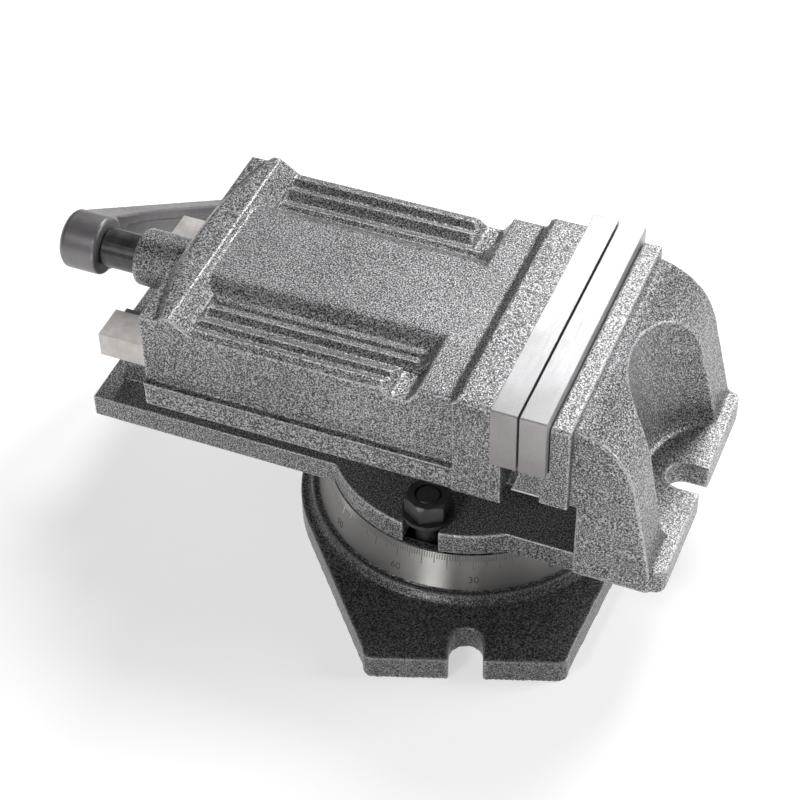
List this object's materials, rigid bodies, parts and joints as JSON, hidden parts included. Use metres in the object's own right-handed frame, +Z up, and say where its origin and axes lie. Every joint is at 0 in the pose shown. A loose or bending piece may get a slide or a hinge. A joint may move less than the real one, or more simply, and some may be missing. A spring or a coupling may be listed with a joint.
{
  "type": "machine vise",
  "caption": "Swivel-base milling vise with a graduated turntable, a screw-drawn movable jaw on flat guideways, ground jaw plates and a pull-off crank.",
  "frame": {"origin": "swivel axis on the table plane, at the middle of the swivel base's underside", "axes": "+Z up along the swivel axis, +X along the jaw travel from the crank end to the fixed jaw, +Y across the jaws"},
  "size_m": [0.3685, 0.2868, 0.159],
  "materials": {
    "hammer_paint": "hammertone paint, fine mottled black and silver",
    "ground_steel": "ground, satin",
    "gib_iron": "machined, bare",
    "black_steel": "black oxide, semi-gloss",
    "forged_steel": "cast, dark, satin",
    "bronze": "machined bronze"
  },
  "bodies": {
    "base": {"swivel_base": "hammer_paint", "pivot_pin": "ground_steel"},
    "body": {"vise_body": "hammer_paint", "fixed_jaw_plate": "ground_steel", "fixed_plate_screw_near": "black_steel", "fixed_plate_screw_far": "black_steel", "screw_nut": "bronze", "nut_bolt_1": "black_steel", "nut_bolt_2": "black_steel", "t_bolt_near": "black_steel", "t_bolt_far": "black_steel", "clamp_washer_near": "black_steel", "clamp_washer_far": "black_steel", "clamp_nut_near": "black_steel", "clamp_nut_far": "black_steel"},
    "jaw": {"movable_jaw": "hammer_paint", "movable_jaw_plate": "ground_steel", "movable_plate_screw_near": "black_steel", "movable_plate_screw_far": "black_steel", "gib_near": "gib_iron", "gib_far": "gib_iron", "gib_screw_near_1": "black_steel", "gib_screw_near_2": "black_steel", "gib_screw_near_3": "black_steel", "gib_screw_far_1": "black_steel", "gib_screw_far_2": "black_steel", "gib_screw_far_3": "black_steel", "thrust_washer": "bronze"},
    "screw": {"lead_screw": "black_steel", "screw_collar": "black_steel", "collar_pin": "black_steel"},
    "crank": {"crank_handle": "forged_steel", "grip_pin": "black_steel"},
    "grip": {"crank_grip": "forged_steel"}
  },
  "joints": [
    {"name": "swivel", "type": "hinge", "parent": "base", "child": "body", "pos_m": [0, 0, 0.0415], "axis": [0, 0, 1], "continuous": true},
    {"name": "jaw_slide", "type": "slide", "parent": "body", "child": "jaw", "axis": [-1, 0, 0], "range_m": [0, 0.125]},
    {"name": "screw_turn", "type": "hinge", "parent": "jaw", "child": "screw", "pos_m": [-0.2, 0, 0.1224], "axis": [-1, 0, 0], "range_deg": [0, 11250]},
    {"name": "crank_pull", "type": "slide", "parent": "screw", "child": "crank", "axis": [-1, 0, 0], "range_m": [0, 0.03]},
    {"name": "grip_spin", "type": "hinge", "parent": "crank", "child": "grip", "pos_m": [-0.157, 0.13642, 0.0388], "axis": [-1, 0, 0], "continuous": true}
  ],
  "couplings": [
    {"joint": "jaw_slide", "follows": "screw_turn", "m_per_rad": 0.00063661}
  ]
}
